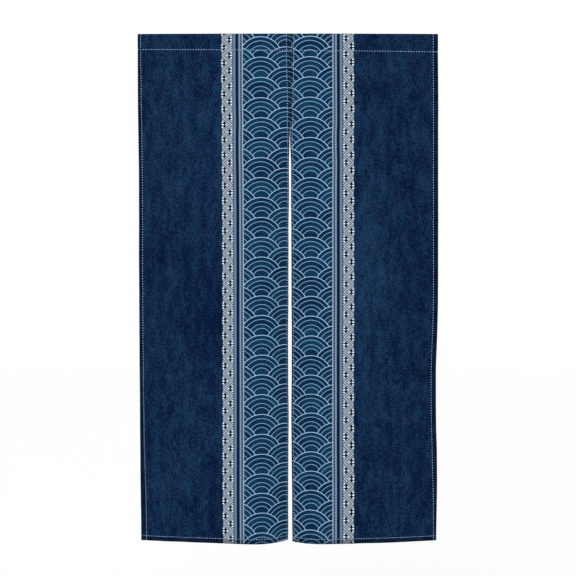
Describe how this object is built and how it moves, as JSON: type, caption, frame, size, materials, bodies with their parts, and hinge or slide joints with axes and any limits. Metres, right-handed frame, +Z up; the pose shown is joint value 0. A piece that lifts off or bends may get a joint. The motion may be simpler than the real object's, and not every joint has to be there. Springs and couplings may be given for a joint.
{
  "type": "noren curtain",
  "caption": "Door curtain of two printed cloth panels on one rod pocket, with a slit between them, hanging still and slightly bowed.",
  "frame": {"origin": "middle of the top edge, in the fold of the rod pocket", "axes": "+Z up, the front of the curtain faces -Y, +X to the right as seen from the front"},
  "size_m": [0.8421, 0.0463, 1.43],
  "materials": {
    "printed_cloth": "matt plain weave, indigo print"
  },
  "bodies": {
    "root": {"rod_pocket": "printed_cloth", "left_panel": "printed_cloth", "right_panel": "printed_cloth"}
  },
  "joints": []
}
